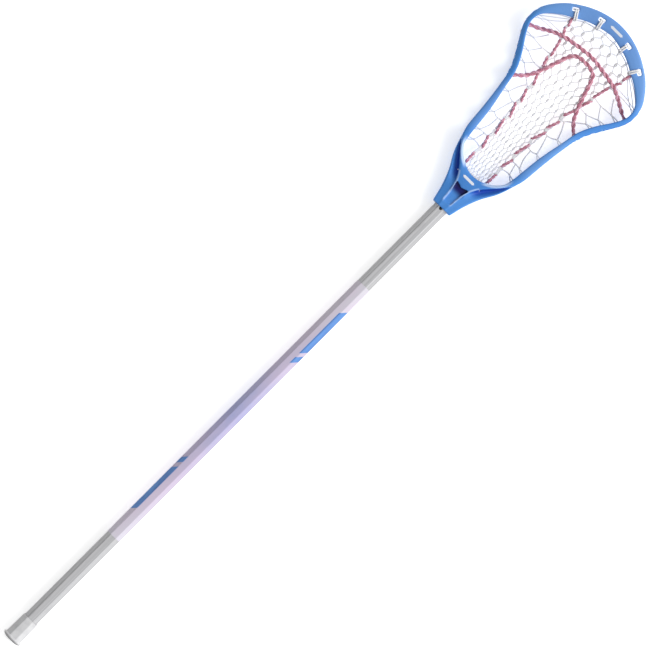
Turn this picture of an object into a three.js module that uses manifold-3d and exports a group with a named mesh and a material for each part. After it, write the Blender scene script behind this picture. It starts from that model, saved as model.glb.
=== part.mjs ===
// A women's lacrosse stick lying face up: an octagonal aluminium handle in a moulded head strung with mesh.
// Millimetres. +Y runs from the butt to the scoop, +X is to the right seen from above,
// and +Z is the catching side.
// The origin is under the middle of the stick's box, on the surface that it lies on.

import * as THREE from "three";
import { mergeVertices } from "three/addons/utils/BufferGeometryUtils.js";
import Module from "manifold-3d";

const wasm = await Module();
wasm.setup();

// Driving dimensions
const OVERALL_LENGTH = 1097;
const HEAD_LENGTH = 322.6; // from the collar's mouth to the tip of the scoop
const AXIS_HEIGHT = 14; // of the handle's centreline
const GAP = 0.3; // between touching pieces

const SHAFT_FLATS = 20.3; // across the octagon's flats
const SHAFT_WALL = 1.2;
const SHAFT_FRONT_HOLE = { radius: 2.2, y: -1.2 };
const CAP_END_WALL = 5;
const SHAFT_INSERTION = 47; // how far the handle reaches into the head
const WRAP_FROM = 185.4; // from the butt
const WRAP_TO = 635;
const WRAP_FILM = 0.4;

const CAP_LENGTH = 36.8;
const CAP_FLANGE_RADIUS = AXIS_HEIGHT;
const CAP_FLAT_RADIUS = 9;
const CAP_MOUTH_FLATS = 22.4;
const CAP_FOOT_FLATS = 24;

const RIM_THICKNESS = 4.5;
const WALL_THICKNESS = 3.2;
const RAIL_WIDTH = 6;
const RAIL_HEIGHT = 5;
const STRING_HOLE_RADIUS = 2.2;
const LACE_HOLE_RADIUS = 2.9;
const TIE_HOLE_HEIGHT = 8.5; // above the underside of the rail
const TIE_SPREAD = 3.5; // half the distance between the two holes of one tie

const SCREW_GAP = 0.45; // round the screw
const SCREW = { y: 20, shank: 1.8, head: 3.4, headDepth: 1.3, tip: 9.5, recess: 0.5 };

const MESH_THICKNESS = 1.6;
const SIDE_STRING_RADIUS = 0.9;
const RUNNER_LACE_RADIUS = 1.4;
const SHOOTING_STRING_RADIUS = 1.9;
const RUNNER_LACE_LAYER = 3.2; // heights of the laces above the middle of the mesh
const SHOOTING_STRING_LAYER = 7.8;

// Head outline: matched points of the rim's inner and outer edges on the right-hand side, [x, y] from the
// collar's mouth, starting at the ball stop and ending at the tip of the scoop.
const RIM_EDGES = [
  { inner: [0, 55.9], outer: [0, 35.5] },
  { inner: [10, 57.5], outer: [11.5, 41] },
  { inner: [19, 61.6], outer: [18.5, 50.5] },
  { inner: [25.5, 65.5], outer: [27, 60] },
  { inner: [31, 70.5], outer: [35.8, 69.5] },
  { inner: [36, 77], outer: [41.5, 77] },
  { inner: [38.3, 84], outer: [46.5, 84.5] },
  { inner: [39.8, 93], outer: [49.5, 93] },
  { inner: [40.8, 103], outer: [51.2, 103] },
  { inner: [44.3, 133.4], outer: [54, 133.4] },
  { inner: [50.3, 163.8], outer: [58.3, 163.8] },
  { inner: [55.5, 189.2], outer: [64.2, 187] },
  { inner: [65.2, 209.6], outer: [73, 205.5] },
  { inner: [78.4, 229.9], outer: [84.8, 226] },
  { inner: [84.5, 241.5], outer: [91.5, 239] },
  { inner: [86.4, 250.2], outer: [93.8, 250.5] },
  { inner: [84.2, 260.4], outer: [92.4, 263] },
  { inner: [76.4, 270.5], outer: [86.5, 276] },
  { inner: [62.9, 280.7], outer: [72.4, 293] },
  { inner: [48.3, 289], outer: [56, 305.3] },
  { inner: [34.3, 296.5], outer: [38, 314.7] },
  { inner: [18, 301.5], outer: [19, 320.6] },
  { inner: [0, 304.5], outer: [0, HEAD_LENGTH] },
];
const STOP_END = 3; // the ball stop is made of the first spans of RIM_EDGES
const WALL_START = 6; // the side wall runs between these two
const WALL_END = 16;
const SCOOP_START = 18;

// Profiles along the head, [y, height or width]
const RIM_TOP = [[0, 27.4], [30, 31.5], [56, 33.5], [100, 34.5], [180, 35.5], [240, 37.5], [290, 41.5],
  [305, 43.5], [323, 47]];
const RAIL_BOTTOM = [[0, 0.6], [56, 0.8], [80, 0], [200, 0], [230, 3], [250, 9], [270, 18], [290, 27],
  [305, 33], [323, 40]];
const POCKET_HEIGHT = [[56, 14], [75, 10], [110, 7], [180, 6], [220, 8], [250, 14], [275, 26], [300, 39]];
const POCKET_WIDTH = [[58, 17.8], [106, 21.6], [156, 26.7], [207, 31.8], [258, 42], [300, 52]];
const POCKET_DISH = 2.5; // how much higher the mesh is at its edges

// Throat: the outer flanks run from the collar's mouth into the rim
const FLANK_WIDTH = [[0, 14.6], [22, 20.2], [42, 27.9], [62, 39.0], [82, 46.2], [93, 49.2]];
const FLANK_TOP = [[0, 27.2], [20, 28.5], [42, 28.8], [70, 29.5], [93, 33]];
const FLANK_BOTTOM = [[0, 0.6], [56, 0.8], [66, 2], [82, 15], [93, 19]];
const FLANK_SLOPE = 3.5; // how far its outer edge falls
const FLANK_END = 93;
const CHANNEL = [[-5.7, 9.5], [5.7, 9.5], [7.2, 28], [10.5, 39], [0, 35.3], [-10.5, 39], [-7.2, 28]];
const CHANNEL_FLOOR = 26;
const UNDERCUT = { x: 10, from: 34, to: 49, top: 28.2 }; // the channel runs on under the ball-stop plate
const BACK_RECESS = { inner: 14.2, depthTo: 22, from: 28, to: 50, wall: 4 };
const STOP_CHAMBER = { x: 20, from: 48.4, to: 51.6, top: 25 };

// Stringing
const WINDOWS = [[96, 120], [127, 151], [157, 176], [192, 210], [216, 234]];
const SIDE_TIES = [87.6, 102.9, 130.8, 163.8, 204.5, 217.2, 232.4];
const LOWER_STRING_HOLE = { y: 184, z: 17 };
const UPPER_STRING_HOLE = { y: 242.6, z: 20 };
const TOP_STRING_HOLE = { y: 258, z: 23 };
const THROAT_STRING = { x: 9, z: 14 };
const SCOOP_HOLES = [{ x: 56.5, y: 297.2, turn: -0.56 }, { x: 23.5, y: 310.5, turn: -0.18 }];
const SCOOP_HOLE_SIZE = [8.9, 5.7];

// Materials
const plastic = { color: 0x3f86da, roughness: 0.38, metalness: 0 };
const aluminium = { color: 0xb9b9b9, roughness: 0.3, metalness: 0.9 };
const film = { color: 0xbfb8d6, roughness: 0.35, metalness: 0 };
const rubber = { color: 0xdcdcdc, roughness: 0.6, metalness: 0 };
const steel = { color: 0x8f9296, roughness: 0.35, metalness: 1 };
const whiteCord = { color: 0xf2f2f0, roughness: 0.8, metalness: 0 };
const pinkCord = { color: 0xc66a88, roughness: 0.8, metalness: 0 };

// Height or width at y on a smooth profile
function profile(points, y) {
  const last = points.length - 1;
  let i = 0;
  while (i < last - 1 && y > points[i + 1][0]) i += 1;
  const [y0, a] = points[i];
  const [y1, b] = points[i + 1];
  const f = THREE.MathUtils.clamp((y - y0) / (y1 - y0), 0, 1);
  const slopeAt = (j) => {
    const before = points[Math.max(j - 1, 0)];
    const after = points[Math.min(j + 1, last)];
    return (after[1] - before[1]) / (after[0] - before[0]);
  };
  const span = y1 - y0;
  return (2 * f ** 3 - 3 * f ** 2 + 1) * a + (f ** 3 - 2 * f ** 2 + f) * span * slopeAt(i)
    + (3 * f ** 2 - 2 * f ** 3) * b + (f ** 3 - f ** 2) * span * slopeAt(i + 1);
}

const rimTop = (y) => profile(RIM_TOP, y);
const railBottom = (y) => Math.max(profile(RAIL_BOTTOM, y), 0);
const pocketHalfWidth = (y) => profile(POCKET_WIDTH, y);

function pocketHeight(x, y) {
  const across = Math.min(Math.abs(x) / pocketHalfWidth(y), 1);
  return profile(POCKET_HEIGHT, y) + POCKET_DISH * across ** 2;
}

// Solids and geometries

function signedVolume(geometry) {
  const g = geometry.index ? geometry.toNonIndexed() : geometry;
  const p = g.attributes.position;
  const [a, b, c] = [new THREE.Vector3(), new THREE.Vector3(), new THREE.Vector3()];
  let volume = 0;
  for (let i = 0; i < p.count; i += 3) {
    a.fromBufferAttribute(p, i);
    b.fromBufferAttribute(p, i + 1);
    c.fromBufferAttribute(p, i + 2);
    volume += a.dot(b.cross(c)) / 6;
  }
  return volume;
}

function positionsOnly(geometry) {
  geometry.deleteAttribute("normal");
  geometry.deleteAttribute("uv");
  const merged = mergeVertices(geometry, 1e-4);
  if (signedVolume(merged) < 0) {
    const index = merged.index.array;
    for (let i = 0; i < index.length; i += 3) {
      [index[i + 1], index[i + 2]] = [index[i + 2], index[i + 1]];
    }
  }
  return merged;
}

function solid(geometry) {
  const merged = positionsOnly(geometry);
  const vertProperties = new Float32Array(merged.attributes.position.array);
  const triVerts = new Uint32Array(merged.index.array);
  return new wasm.Manifold(new wasm.Mesh({ numProp: 3, vertProperties, triVerts }));
}

function geometryOf(manifold) {
  const mesh = manifold.getMesh();
  const geometry = new THREE.BufferGeometry();
  geometry.setAttribute("position", new THREE.BufferAttribute(new Float32Array(mesh.vertProperties), 3));
  geometry.setIndex(new THREE.BufferAttribute(new Uint32Array(mesh.triVerts), 1));
  return geometry;
}

// A closed skin over rings of points, which either join up end to end or are capped. In a capped one, point j
// of a ring faces point n - 1 - j across it.
function loft(rings, joined = false) {
  const n = rings[0].length;
  const positions = rings.flat().flatMap((p) => [p.x, p.y, p.z]);
  const index = [];
  const spans = joined ? rings.length : rings.length - 1;
  for (let i = 0; i < spans; i += 1) {
    const here = i * n;
    const next = ((i + 1) % rings.length) * n;
    for (let j = 0; j < n; j += 1) {
      const k = (j + 1) % n;
      index.push(here + j, here + k, next + k, here + j, next + k, next + j);
    }
  }
  if (!joined) {
    const end = (rings.length - 1) * n;
    for (let j = 0; j < n / 2 - 1; j += 1) {
      const k = n - 1 - j;
      index.push(j, k, j + 1, j + 1, k, k - 1);
      index.push(end + j, end + j + 1, end + k, end + j + 1, end + k - 1, end + k);
    }
  }
  const geometry = new THREE.BufferGeometry();
  geometry.setAttribute("position", new THREE.Float32BufferAttribute(positions, 3));
  geometry.setIndex(index);
  return geometry;
}

// An octagon across its flats, with a flat on top, as a ring in the XZ plane about the handle's axis
function octagonRing(flats, y) {
  const radius = flats / 2 / Math.cos(Math.PI / 8);
  return Array.from({ length: 8 }, (_, j) => {
    const angle = Math.PI / 8 + (j * Math.PI) / 4;
    return new THREE.Vector3(radius * Math.cos(angle), y, AXIS_HEIGHT + radius * Math.sin(angle));
  });
}

const octagonBar = (flats, from, to) => solid(loft([octagonRing(flats, from), octagonRing(flats, to)]));

// A prism from an outline in plan, between two heights
function planPrism(points, bottom, top) {
  const shape = new THREE.Shape(points.map(([x, y]) => new THREE.Vector2(x, y)));
  const geometry = new THREE.ExtrudeGeometry(shape, { depth: top - bottom, bevelEnabled: false });
  geometry.translate(0, 0, bottom);
  return solid(geometry);
}

const planBox = ({ x, from, to, top }, bottom) =>
  planPrism([[-x, from], [x, from], [x, to], [-x, to]], bottom, top);

// A prism from an outline in the YZ plane that runs right across the head
function sidePrism(points, halfWidth) {
  const shape = new THREE.Shape(points.map(([y, z]) => new THREE.Vector2(y, z)));
  const geometry = new THREE.ExtrudeGeometry(shape, { depth: 2 * halfWidth, bevelEnabled: false });
  geometry.rotateX(Math.PI / 2);
  geometry.rotateZ(Math.PI / 2);
  geometry.translate(-halfWidth, 0, 0);
  return solid(geometry);
}

function cylinderBetween(from, to, radius, sides = 12) {
  const along = new THREE.Vector3().subVectors(to, from);
  const geometry = new THREE.CylinderGeometry(radius, radius, along.length(), sides);
  const up = new THREE.Vector3(0, 1, 0);
  const turn = new THREE.Quaternion().setFromUnitVectors(up, along.clone().normalize());
  geometry.applyQuaternion(turn);
  geometry.translate(...from.clone().add(to).multiplyScalar(0.5).toArray());
  return solid(geometry);
}

// A cord's centreline. Its steps are shared out equally between its points, so bends keep their shape.
class CordPath extends THREE.CatmullRomCurve3 {
  getPointAt(u, target) {
    return this.getPoint(u, target);
  }

  getTangentAt(u, target) {
    return this.getTangent(u, target);
  }
}

function cord(points, radius, stepsPerSpan = 2, sides = 6) {
  const section = new THREE.Shape(Array.from({ length: sides }, (_, j) => {
    const angle = (j * 2 * Math.PI) / sides;
    return new THREE.Vector2(radius * Math.cos(angle), radius * Math.sin(angle));
  }));
  const extrudePath = new CordPath(points, false, "centripetal");
  const steps = (points.length - 1) * stepsPerSpan;
  return positionsOnly(new THREE.ExtrudeGeometry(section, { steps, extrudePath, bevelEnabled: false }));
}

// Rim edges as smooth curves, with k counting along RIM_EDGES
const edgeCurve = (edge) => new THREE.SplineCurve(RIM_EDGES.map((pair) => new THREE.Vector2(...pair[edge])));
const innerEdge = edgeCurve("inner");
const outerEdge = edgeCurve("outer");
const SPANS = RIM_EDGES.length - 1;
const edgesAt = (k) => ({ inner: innerEdge.getPoint(k / SPANS), outer: outerEdge.getPoint(k / SPANS) });

// Where the wall under the rim stands across it, from 0 at the inner edge to 1 at the outer
function wallShare(k, width) {
  const atStop = 2.4 / width;
  const atScoop = 1 - 3.2 / width;
  const toSide = THREE.MathUtils.smoothstep(k, STOP_END, WALL_START);
  const toScoop = THREE.MathUtils.smoothstep(k, WALL_END, SCOOP_START);
  return THREE.MathUtils.lerp(THREE.MathUtils.lerp(atStop, 0.5, toSide), atScoop, toScoop);
}

// The side wall's middle and its outward direction in plan at a distance y along the head
function wallAt(y, side) {
  let low = WALL_START;
  let high = WALL_END;
  for (let i = 0; i < 30; i += 1) {
    const k = (low + high) / 2;
    const { inner, outer } = edgesAt(k);
    if ((inner.y + outer.y) / 2 < y) low = k;
    else high = k;
  }
  const { inner, outer } = edgesAt(low);
  const outward = outer.clone().sub(inner).normalize();
  const middle = inner.clone().lerp(outer, wallShare(low, outer.distanceTo(inner)));
  return (across, z) =>
    new THREE.Vector3(side * (middle.x + outward.x * across), middle.y + outward.y * across, z);
}

// Head

function rimSection(k, side) {
  const { inner, outer } = edgesAt(k);
  const width = outer.distanceTo(inner);
  const share = wallShare(k, width);
  const wall = WALL_THICKNESS / 2 / width;
  const rail = Math.min(RAIL_WIDTH / 2 / width, share, 1 - share);
  const base = railBottom((inner.y + outer.y) / 2);
  const railTop = (top) => base + Math.min(RAIL_HEIGHT, top - RIM_THICKNESS - base - 0.6);
  const at = (f, height) => {
    const p = inner.clone().lerp(outer, f);
    return new THREE.Vector3(side * p.x, p.y, height(rimTop(p.y)));
  };
  const under = (top) => top - RIM_THICKNESS;
  const edge = (top) => top - 0.7;
  return [at(0, edge), at(0.22, (top) => top), at(0.78, (top) => top), at(1, edge), at(1, under),
    at(share + wall, under), at(share + wall, railTop), at(share + rail, railTop),
    at(share + rail, () => base), at(share - rail, () => base),
    at(share - rail, railTop), at(share - wall, railTop), at(share - wall, under),
    at(0, under)];
}

function rimRing() {
  const stations = 2 * SPANS;
  const right = Array.from({ length: stations + 1 }, (_, i) => rimSection((i * SPANS) / stations, 1));
  const left = Array.from({ length: stations - 1 },
    (_, i) => rimSection(SPANS - ((i + 1) * SPANS) / stations, -1));
  return solid(loft([...right, ...left], true));
}

// The solid throat with its sloping flanks, before it is hollowed out
function throatBlock() {
  const steps = 16;
  const rings = Array.from({ length: steps + 1 }, (_, i) => {
    const y = (FLANK_END * i) / steps;
    const half = profile(FLANK_WIDTH, y);
    const top = profile(FLANK_TOP, y);
    const bottom = profile(FLANK_BOTTOM, y);
    const outline = [[-0.4, top], [-0.85, top - FLANK_SLOPE * 0.5], [-1, top - FLANK_SLOPE - 4],
      [-1, bottom + 6], [-0.6, bottom], [0.6, bottom], [1, bottom + 6],
      [1, top - FLANK_SLOPE - 4], [0.85, top - FLANK_SLOPE * 0.5],
      [0.4, top]];
    return outline.map(([f, z]) => new THREE.Vector3(f * half, y, z));
  });
  return solid(loft(rings));
}

// The open middle of the head, a little larger than the rim's inner edge
function pocketPrism() {
  const samples = 40;
  const right = Array.from({ length: samples + 1 }, (_, i) => {
    const { inner, outer } = edgesAt((i * SPANS) / samples);
    return inner.lerp(outer, 0.1);
  });
  const points = right.map((p) => [p.x, p.y]);
  const left = right.slice(1, -1).reverse().map((p) => [-p.x, p.y]);
  return planPrism([...points, ...left], -5, 60);
}

function backRecess(side) {
  const { inner, depthTo, from, to, wall } = BACK_RECESS;
  const flank = (y) => profile(FLANK_WIDTH, y) - wall;
  const points = [[inner, from], [flank(from) + 1, from], [flank(38), 38], [flank(to), to], [inner, to]];
  const outline = points.map(([x, y]) => [side * x, y]);
  return planPrism(side > 0 ? outline : outline.reverse(), -2, depthTo);
}

function windowCut([from, to]) {
  const low = (y) => railBottom(y) + 13.5;
  const high = (y) => rimTop(y) - RIM_THICKNESS - 3;
  const corner = 3;
  return sidePrism([[from + corner, low(from)], [to - corner, low(to)], [to, low(to) + corner],
    [to, high(to) - corner], [to - corner, high(to)],
    [from + corner, high(from)], [from, high(from) - corner],
    [from, low(from) + corner]], 110);
}

function wallHole({ y, z }, side, radius = STRING_HOLE_RADIUS) {
  const at = wallAt(y, side);
  return cylinderBetween(at(-6, z), at(6, z), radius, 8);
}

function scoopHole({ x, y, turn }, side) {
  const [width, depth] = SCOOP_HOLE_SIZE;
  const geometry = new THREE.BoxGeometry(width, depth, 30);
  geometry.rotateZ(side * turn);
  geometry.translate(side * x, y, 40);
  return solid(geometry);
}

const tieHoleHeight = (y) => railBottom(y) + TIE_HOLE_HEIGHT;

function headFrame() {
  let head = throatBlock().subtract(pocketPrism()).add(rimRing());
  head = head.subtract(octagonBar(SHAFT_FLATS + 2 * GAP, -5, SHAFT_INSERTION + GAP));
  head = head.subtract(planPrism(CHANNEL, CHANNEL_FLOOR, 60));
  head = head.subtract(planBox(UNDERCUT, CHANNEL_FLOOR)).subtract(planBox(STOP_CHAMBER, -2));
  const screwAt = (z) => new THREE.Vector3(0, SCREW.y, z);
  head = head.subtract(cylinderBetween(screwAt(-2), screwAt(6), SCREW.shank + SCREW_GAP));
  const seat = screwAt(SCREW.recess + SCREW.headDepth + GAP);
  head = head.subtract(cylinderBetween(screwAt(-2), seat, SCREW.head + SCREW_GAP));
  for (const window of WINDOWS) head = head.subtract(windowCut(window));
  for (const side of [-1, 1]) {
    head = head.subtract(backRecess(side));
    for (const y of SIDE_TIES) {
      head = head.subtract(wallHole({ y: y - TIE_SPREAD, z: tieHoleHeight(y) }, side));
      head = head.subtract(wallHole({ y: y + TIE_SPREAD, z: tieHoleHeight(y) }, side));
    }
    head = head.subtract(wallHole(LOWER_STRING_HOLE, side, LACE_HOLE_RADIUS));
    head = head.subtract(wallHole(UPPER_STRING_HOLE, side, LACE_HOLE_RADIUS));
    head = head.subtract(wallHole(TOP_STRING_HOLE, side));
    for (const hole of SCOOP_HOLES) head = head.subtract(scoopHole(hole, side));
    const throatHole = (y) => new THREE.Vector3(side * THROAT_STRING.x, y, THROAT_STRING.z);
    head = head.subtract(cylinderBetween(throatHole(50), throatHole(62), STRING_HOLE_RADIUS, 8));
  }
  return geometryOf(head);
}

// Screw from the back of the collar through the handle's wall
function headScrew() {
  const { y, shank, head, headDepth, tip, recess } = SCREW;
  const outline = [[0, recess + 0.7], [1, recess + 0.7], [1.2, recess],
    [head - 0.5, recess], [head, recess + 0.4],
    [head, recess + headDepth], [shank, recess + headDepth], [shank, tip - 1.2], [0.8, tip], [0, tip]];
  const geometry = new THREE.LatheGeometry(outline.map(([r, z]) => new THREE.Vector2(r, z)), 16);
  geometry.rotateX(Math.PI / 2);
  geometry.translate(0, y, 0);
  return positionsOnly(geometry);
}

// Handle

function shaftTube(fromButt) {
  const end = fromButt(0) + CAP_END_WALL + GAP;
  const outside = octagonBar(SHAFT_FLATS, end, SHAFT_INSERTION);
  const bore = octagonBar(SHAFT_FLATS - 2 * SHAFT_WALL, end - 5, SHAFT_INSERTION + 5);
  const hole = (y, radius, from, to) =>
    cylinderBetween(new THREE.Vector3(0, y, from), new THREE.Vector3(0, y, to), radius);
  return geometryOf(outside.subtract(bore)
    .subtract(hole(SHAFT_FRONT_HOLE.y, SHAFT_FRONT_HOLE.radius, AXIS_HEIGHT, 2 * AXIS_HEIGHT))
    .subtract(hole(SCREW.y, SCREW.shank + SCREW_GAP, 0, AXIS_HEIGHT)));
}

function shaftWrap(fromButt) {
  const inside = SHAFT_FLATS + 2 * GAP;
  const film = octagonBar(inside + 2 * WRAP_FILM, fromButt(WRAP_FROM), fromButt(WRAP_TO));
  return geometryOf(film.subtract(octagonBar(inside, fromButt(WRAP_FROM) - 5, fromButt(WRAP_TO) + 5)));
}

function endCap(fromButt) {
  const butt = fromButt(0);
  const rings = [[CAP_FOOT_FLATS, 3], [CAP_FOOT_FLATS, 8], [CAP_MOUTH_FLATS + 0.4, CAP_LENGTH - 3],
    [CAP_MOUTH_FLATS, CAP_LENGTH]].map(([flats, y]) => octagonRing(flats, butt + y));
  const rim = [[0, 0], [CAP_FLAT_RADIUS, 0], [CAP_FLANGE_RADIUS - 1.6, 1.4], [CAP_FLANGE_RADIUS, 3.2],
    [CAP_FLANGE_RADIUS, 4.6], [CAP_FLANGE_RADIUS - 1.2, 5.4], [0, 5.4]];
  const flange = new THREE.LatheGeometry(rim.map(([r, y]) => new THREE.Vector2(r, butt + y)), 32);
  flange.scale(1 / Math.cos(Math.PI / 32), 1, 1 / Math.cos(Math.PI / 32)); // its lowest flat is on the radius
  flange.rotateY(Math.PI / 32);
  flange.translate(0, 0, AXIS_HEIGHT);
  const bore = octagonBar(SHAFT_FLATS + 2 * GAP, butt + CAP_END_WALL, butt + CAP_LENGTH + 5);
  return geometryOf(solid(loft(rings)).add(solid(flange)).subtract(bore));
}

// Stringing

const POCKET_ENDS = { bottom: (x) => 61.8 + 0.0174 * x * x, top: (x) => 296.5 - 0.0067 * x * x };

function pocketMesh() {
  const rows = 20;
  const columns = 8;
  const rings = Array.from({ length: rows + 1 }, (_, i) => {
    const v = i / rows;
    const surface = (lift) => Array.from({ length: columns + 1 }, (__, j) => {
      const a = (2 * j) / columns - 1;
      const middle = THREE.MathUtils.lerp(POCKET_ENDS.bottom(0), POCKET_ENDS.top(0), v);
      const x = a * pocketHalfWidth(middle);
      const y = THREE.MathUtils.lerp(POCKET_ENDS.bottom(x), POCKET_ENDS.top(x), v);
      return new THREE.Vector3(x, y, pocketHeight(x, y) + lift);
    });
    return [...surface(MESH_THICKNESS / 2), ...surface(-MESH_THICKNESS / 2).reverse()];
  });
  return positionsOnly(loft(rings));
}

const onPocket = (x, y, lift) => new THREE.Vector3(x, y, pocketHeight(x, y) + lift);

function besidePocket(y, side) {
  const x = pocketHalfWidth(y) + 1.9;
  return new THREE.Vector3(side * x, y, pocketHeight(x, y));
}

// One cord along each side wall, out through one hole of each tie and back through the other
function sideString(side) {
  const points = [];
  for (const y of SIDE_TIES) {
    const z = tieHoleHeight(y);
    const [first, second] = [wallAt(y - TIE_SPREAD, side), wallAt(y + TIE_SPREAD, side)];
    points.push(besidePocket(y - 5.5, side), first(-6, z), first(0, z), first(3, z));
    points.push(second(3, z), second(0, z), second(-6, z), besidePocket(y + 5.5, side));
  }
  return cord(points, SIDE_STRING_RADIUS, 1);
}

function mirrored(half) {
  const left = half.slice(1).reverse().map((p) => new THREE.Vector3(-p.x, p.y, p.z));
  return [...left, ...half];
}

function throughWall({ y, z }) {
  const at = wallAt(y, 1);
  return [at(-6, z), at(0, z), at(4, z)];
}

function shootingStringUpper() {
  const half = [[0, 269.2], [13, 267.6], [25.4, 265.4], [45.7, 261.6]]
    .map(([x, y]) => onPocket(x, y, SHOOTING_STRING_LAYER));
  half.push(new THREE.Vector3(61, 255.9, 26), new THREE.Vector3(73, 249, 22.5));
  half.push(...throughWall(UPPER_STRING_HOLE));
  return cord(mirrored(half), SHOOTING_STRING_RADIUS);
}

function shootingStringLower() {
  const half = [[0, 257.8], [8, 257.6], [16.5, 254], [21.5, 246], [25.4, 236], [29.2, 226],
    [33, 217.2], [36.8, 209],
    [40.6, 201.9]].map(([x, y]) => onPocket(x, y, SHOOTING_STRING_LAYER));
  half.push(new THREE.Vector3(46, 194, 16.5), ...throughWall(LOWER_STRING_HOLE));
  return cord(mirrored(half), SHOOTING_STRING_RADIUS);
}

function runnerLace(side) {
  const points = [[17, 66], [18.5, 78], [19.4, 99.1], [21, 125.7], [23.5, 152.4],
    [26.7, 175.3], [30.5, 201.9],
    [34.9, 222.3], [38.6, 236.2], [42, 251.5], [45.2, 263], [48, 275]];
  return cord(points.map(([x, y]) => onPocket(side * x, y, RUNNER_LACE_LAYER)), RUNNER_LACE_RADIUS);
}

// The top string loops over the scoop's inner edge and down through each of its four holes
function scoopLoop({ x, y, turn }) {
  const inward = new THREE.Vector2(Math.sin(turn), -Math.cos(turn));
  const along = new THREE.Vector2(Math.cos(turn), Math.sin(turn));
  const at = (a, b, lift) => {
    const p = new THREE.Vector2(x, y).addScaledVector(along, a).addScaledVector(inward, b);
    return new THREE.Vector3(p.x, p.y, rimTop(p.y) + lift);
  };
  const below = -RIM_THICKNESS - 1.8;
  return [at(3.4, 12.8, below), at(2.7, 13.7, -2.2), at(2.4, 11.3, 2.3), at(1.8, 2.5, 2.1),
    at(0.8, 0, -1), at(-0.8, 0.6, -5.4),
    at(-1.8, 5, below), at(-2.6, 11.5, below)];
}

function topString() {
  const [outerHole, innerHole] = SCOOP_HOLES;
  const corner = wallAt(TOP_STRING_HOLE.y, 1);
  const { z } = TOP_STRING_HOLE;
  const right = [corner(4, z), corner(0, z), corner(-6, z),
    new THREE.Vector3(70, 268, 29), ...scoopLoop(outerHole),
    ...scoopLoop(innerHole)];
  const middle = new THREE.Vector3(0, 301, rimTop(301) - RIM_THICKNESS - 1.8);
  return cord(mirrored([middle, ...right.reverse()]), SIDE_STRING_RADIUS, 1);
}

function throatString() {
  const { x, z } = THROAT_STRING;
  const half = [[0, 59.3], [5, 59.6], [x - 1, 58.9], [x, 56], [x, 50.2]]
    .map(([px, y]) => new THREE.Vector3(px, y, z));
  return cord(mirrored(half), SIDE_STRING_RADIUS);
}

// Assembly

function piece(name, geometry, material) {
  const mesh = new THREE.Mesh(geometry, new THREE.MeshStandardMaterial(material));
  mesh.name = name;
  return mesh;
}

// Everything is placed from the collar's mouth, the head's own zero
const fromButt = (distance) => distance - (OVERALL_LENGTH - HEAD_LENGTH);

const handle = new THREE.Group();
handle.add(
  piece("shaft_tube", shaftTube(fromButt), aluminium),
  piece("shaft_wrap", shaftWrap(fromButt), film),
  piece("end_cap", endCap(fromButt), rubber),
);

const head = new THREE.Group();
head.add(
  piece("head_frame", headFrame(), plastic),
  piece("head_screw", headScrew(), steel),
);

const stringing = new THREE.Group();
stringing.add(
  piece("pocket_mesh", pocketMesh(), whiteCord),
  piece("throat_string", throatString(), whiteCord),
  piece("top_string", topString(), whiteCord),
  piece("shooting_string_upper", shootingStringUpper(), pinkCord),
  piece("shooting_string_lower", shootingStringLower(), pinkCord),
);
for (const [name, side] of [["left", -1], ["right", 1]]) {
  stringing.add(piece(`side_string_${name}`, sideString(side), whiteCord));
  stringing.add(piece(`runner_lace_${name}`, runnerLace(side), pinkCord));
}

const stick = new THREE.Group();
stick.add(handle, head, stringing);
stick.position.y = OVERALL_LENGTH / 2 - HEAD_LENGTH;

export default stick;
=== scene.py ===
import math
import random

import bmesh
import bpy
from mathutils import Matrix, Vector


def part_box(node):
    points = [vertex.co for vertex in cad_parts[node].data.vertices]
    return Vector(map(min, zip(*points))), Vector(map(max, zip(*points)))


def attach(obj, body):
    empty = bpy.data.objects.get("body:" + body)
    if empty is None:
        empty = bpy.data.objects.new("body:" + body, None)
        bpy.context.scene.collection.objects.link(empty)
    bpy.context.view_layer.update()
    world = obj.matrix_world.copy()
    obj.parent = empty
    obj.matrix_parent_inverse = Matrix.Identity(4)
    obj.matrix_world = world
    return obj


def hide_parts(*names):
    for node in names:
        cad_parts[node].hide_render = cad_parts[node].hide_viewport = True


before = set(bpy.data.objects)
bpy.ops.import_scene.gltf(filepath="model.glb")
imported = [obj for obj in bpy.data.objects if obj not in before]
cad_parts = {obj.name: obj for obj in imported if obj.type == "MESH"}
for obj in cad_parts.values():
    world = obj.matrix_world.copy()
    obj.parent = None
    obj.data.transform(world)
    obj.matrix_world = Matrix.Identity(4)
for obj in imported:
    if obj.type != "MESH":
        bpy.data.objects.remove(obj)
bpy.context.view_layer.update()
random.seed(11)

MM = 0.001
HEAD_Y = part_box("head_frame")[0][1] / MM  # the collar's mouth in the row frame
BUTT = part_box("end_cap")[0][1] / MM - HEAD_Y
AXIS_HEIGHT = 14
HEAD_LENGTH = 322.6


def place(p):
    """A point in millimetres from the collar's mouth, in metres in the row frame."""
    return Vector((p[0] * MM, (p[1] + HEAD_Y) * MM, p[2] * MM))


# Camera: straight down, turned so that the head points to the upper right

VIEW_WIDTH = 0.8255
LENS, SENSOR = 250, 36
CAMERA_TURN = math.radians(44.92)
CAMERA_AT = (0.0007, 0.0164)

camera = bpy.data.objects.new("camera", bpy.data.cameras.new("camera"))
bpy.context.scene.collection.objects.link(camera)
camera.data.lens, camera.data.sensor_width = LENS, SENSOR
camera.data.clip_end = 50
camera.location = (*CAMERA_AT, VIEW_WIDTH * LENS / SENSOR + AXIS_HEIGHT * MM)
camera.rotation_euler = (0, 0, CAMERA_TURN)
bpy.context.scene.camera = camera
bpy.context.scene.view_settings.view_transform = "Standard"

# Profiles and outlines


def lerp(a, b, f):
    return a + (b - a) * f


def smoothstep(x, low, high):
    f = min(max((x - low) / (high - low), 0), 1)
    return f * f * (3 - 2 * f)


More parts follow.
